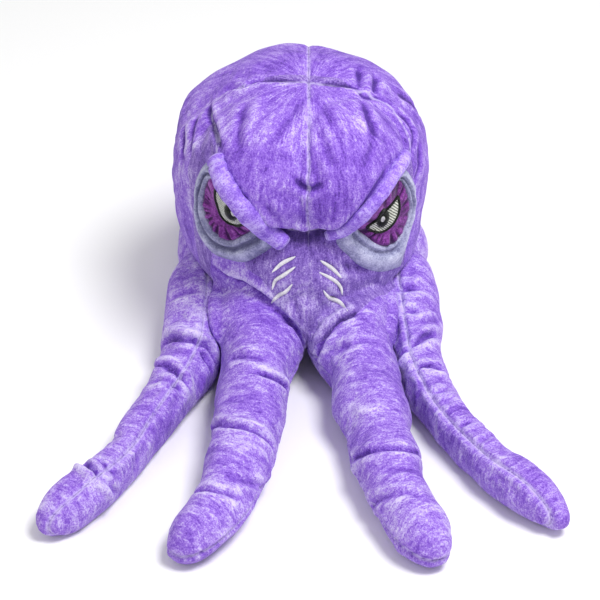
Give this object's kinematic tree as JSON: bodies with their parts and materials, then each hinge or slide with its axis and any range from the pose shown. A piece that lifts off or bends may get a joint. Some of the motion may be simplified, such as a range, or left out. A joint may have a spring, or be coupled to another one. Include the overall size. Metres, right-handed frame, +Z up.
{
  "type": "stuffed octopus toy",
  "caption": "Sewn, stuffed octopus toy with a big domed head, stuffed brows over embroidered eyes, and tapering tentacles that lift, sweep and curl.",
  "frame": {"origin": "centre of the flat base panel, on the surface that the toy sits on", "axes": "+Z up through the crown, -Y out of the face, +X towards the toy's own left side, the viewer's right"},
  "size_m": [0.4392, 0.7935, 0.278],
  "materials": {
    "plush": "short brushed pile, soft sheen",
    "stuffing": "loose polyester fibre",
    "base_felt": "matt napped cloth",
    "grey_plush": "short brushed pile, soft sheen",
    "magenta_plush": "short brushed pile, crushed",
    "iris_thread": "satin embroidery thread",
    "dark_thread": "satin embroidery thread",
    "white_thread": "satin embroidery thread"
  },
  "bodies": {
    "body": {"forehead_left": "plush", "temple_left": "plush", "back_left": "plush", "face_left": "plush", "brow_left": "plush", "eye_surround_left": "grey_plush", "eye_patch_left": "magenta_plush", "iris_left": "iris_thread", "pupil_left": "dark_thread", "glint_left": "white_thread", "wrinkle_left_1": "white_thread", "wrinkle_left_2": "white_thread", "wrinkle_left_3": "white_thread", "forehead_right": "plush", "temple_right": "plush", "back_right": "plush", "face_right": "plush", "brow_right": "plush", "eye_surround_right": "grey_plush", "eye_patch_right": "magenta_plush", "iris_right": "iris_thread", "pupil_right": "dark_thread", "glint_right": "white_thread", "wrinkle_right_1": "white_thread", "wrinkle_right_2": "white_thread", "wrinkle_right_3": "white_thread", "head_stuffing": "stuffing", "base_panel": "base_felt"},
    "front_left_upper": {"front_left_upper_casing": "plush", "front_left_upper_stuffing": "stuffing"},
    "front_left_lower": {"front_left_lower_casing": "plush", "front_left_lower_stuffing": "stuffing"},
    "front_right_upper": {"front_right_upper_casing": "plush", "front_right_upper_stuffing": "stuffing"},
    "front_right_lower": {"front_right_lower_casing": "plush", "front_right_lower_stuffing": "stuffing"},
    "side_left_upper": {"side_left_upper_casing": "plush", "side_left_upper_stuffing": "stuffing"},
    "side_left_lower": {"side_left_lower_casing": "plush", "side_left_lower_stuffing": "stuffing"},
    "side_right_upper": {"side_right_upper_casing": "plush", "side_right_upper_stuffing": "stuffing"},
    "side_right_lower": {"side_right_lower_casing": "plush", "side_right_lower_stuffing": "stuffing"},
    "rear_side_left_upper": {"rear_side_left_upper_casing": "plush", "rear_side_left_upper_stuffing": "stuffing"},
    "rear_side_left_lower": {"rear_side_left_lower_casing": "plush", "rear_side_left_lower_stuffing": "stuffing"},
    "rear_left_upper": {"rear_left_upper_casing": "plush", "rear_left_upper_stuffing": "stuffing"},
    "rear_left_lower": {"rear_left_lower_casing": "plush", "rear_left_lower_stuffing": "stuffing"},
    "rear_side_right_upper": {"rear_side_right_upper_casing": "plush", "rear_side_right_upper_stuffing": "stuffing"},
    "rear_side_right_lower": {"rear_side_right_lower_casing": "plush", "rear_side_right_lower_stuffing": "stuffing"},
    "rear_right_upper": {"rear_right_upper_casing": "plush", "rear_right_upper_stuffing": "stuffing"},
    "rear_right_lower": {"rear_right_lower_casing": "plush", "rear_right_lower_stuffing": "stuffing"}
  },
  "joints": [
    {"name": "front_left_root_lift", "type": "hinge", "parent": "body", "child": "front_left_upper", "pos_m": [-0.0335, -0.117, 0.086], "axis": [-0.9875, 0.1577, 0], "range_deg": [0, 40]},
    {"name": "front_left_elbow_curl", "type": "hinge", "parent": "front_left_upper", "child": "front_left_lower", "pos_m": [-0.054, -0.238, 0.03], "axis": [-0.9943, 0.1065, 0], "range_deg": [0, 50]},
    {"name": "front_right_root_lift", "type": "hinge", "parent": "body", "child": "front_right_upper", "pos_m": [0.0335, -0.117, 0.086], "axis": [-0.9776, -0.2105, 0], "range_deg": [0, 40]},
    {"name": "front_right_elbow_curl", "type": "hinge", "parent": "front_right_upper", "child": "front_right_lower", "pos_m": [0.063, -0.242, 0.03], "axis": [-0.988, -0.1547, 0], "range_deg": [0, 50]},
    {"name": "side_left_root_sweep", "type": "hinge", "parent": "body", "child": "side_left_upper", "pos_m": [-0.103, -0.023, 0.043], "axis": [0, 0, -1], "range_deg": [0, 35]},
    {"name": "side_left_elbow_curl", "type": "hinge", "parent": "side_left_upper", "child": "side_left_lower", "pos_m": [-0.112, -0.14, 0.027], "axis": [-0.9801, 0.1984, 0], "range_deg": [0, 50]},
    {"name": "side_right_root_sweep", "type": "hinge", "parent": "body", "child": "side_right_upper", "pos_m": [0.103, -0.023, 0.043], "axis": [0, 0, 1], "range_deg": [0, 35]},
    {"name": "side_right_elbow_curl", "type": "hinge", "parent": "side_right_upper", "child": "side_right_lower", "pos_m": [0.112, -0.14, 0.027], "axis": [-0.9787, -0.2054, 0], "range_deg": [0, 50]},
    {"name": "rear_side_left_root_sweep", "type": "hinge", "parent": "body", "child": "rear_side_left_upper", "pos_m": [-0.103, 0.031, 0.043], "axis": [0, 0, 1], "range_deg": [0, 35]},
    {"name": "rear_side_left_elbow_curl", "type": "hinge", "parent": "rear_side_left_upper", "child": "rear_side_left_lower", "pos_m": [-0.095, 0.148, 0.027], "axis": [0.9997, -0.0238, 0], "range_deg": [0, 50]},
    {"name": "rear_left_root_lift", "type": "hinge", "parent": "body", "child": "rear_left_upper", "pos_m": [-0.0335, 0.117, 0.086], "axis": [0.9998, 0.0208, 0], "range_deg": [0, 40]},
    {"name": "rear_left_elbow_curl", "type": "hinge", "parent": "rear_left_upper", "child": "rear_left_lower", "pos_m": [-0.036, 0.228, 0.03], "axis": [0.9998, 0.0192, 0], "range_deg": [0, 50]},
    {"name": "rear_side_right_root_sweep", "type": "hinge", "parent": "body", "child": "rear_side_right_upper", "pos_m": [0.103, 0.031, 0.043], "axis": [0, 0, -1], "range_deg": [0, 35]},
    {"name": "rear_side_right_elbow_curl", "type": "hinge", "parent": "rear_side_right_upper", "child": "rear_side_right_lower", "pos_m": [0.095, 0.148, 0.027], "axis": [0.9997, 0.0238, 0], "range_deg": [0, 50]},
    {"name": "rear_right_root_lift", "type": "hinge", "parent": "body", "child": "rear_right_upper", "pos_m": [0.0335, 0.117, 0.086], "axis": [0.9998, -0.0208, 0], "range_deg": [0, 40]},
    {"name": "rear_right_elbow_curl", "type": "hinge", "parent": "rear_right_upper", "child": "rear_right_lower", "pos_m": [0.036, 0.228, 0.03], "axis": [0.9998, -0.0192, 0], "range_deg": [0, 50]}
  ]
}
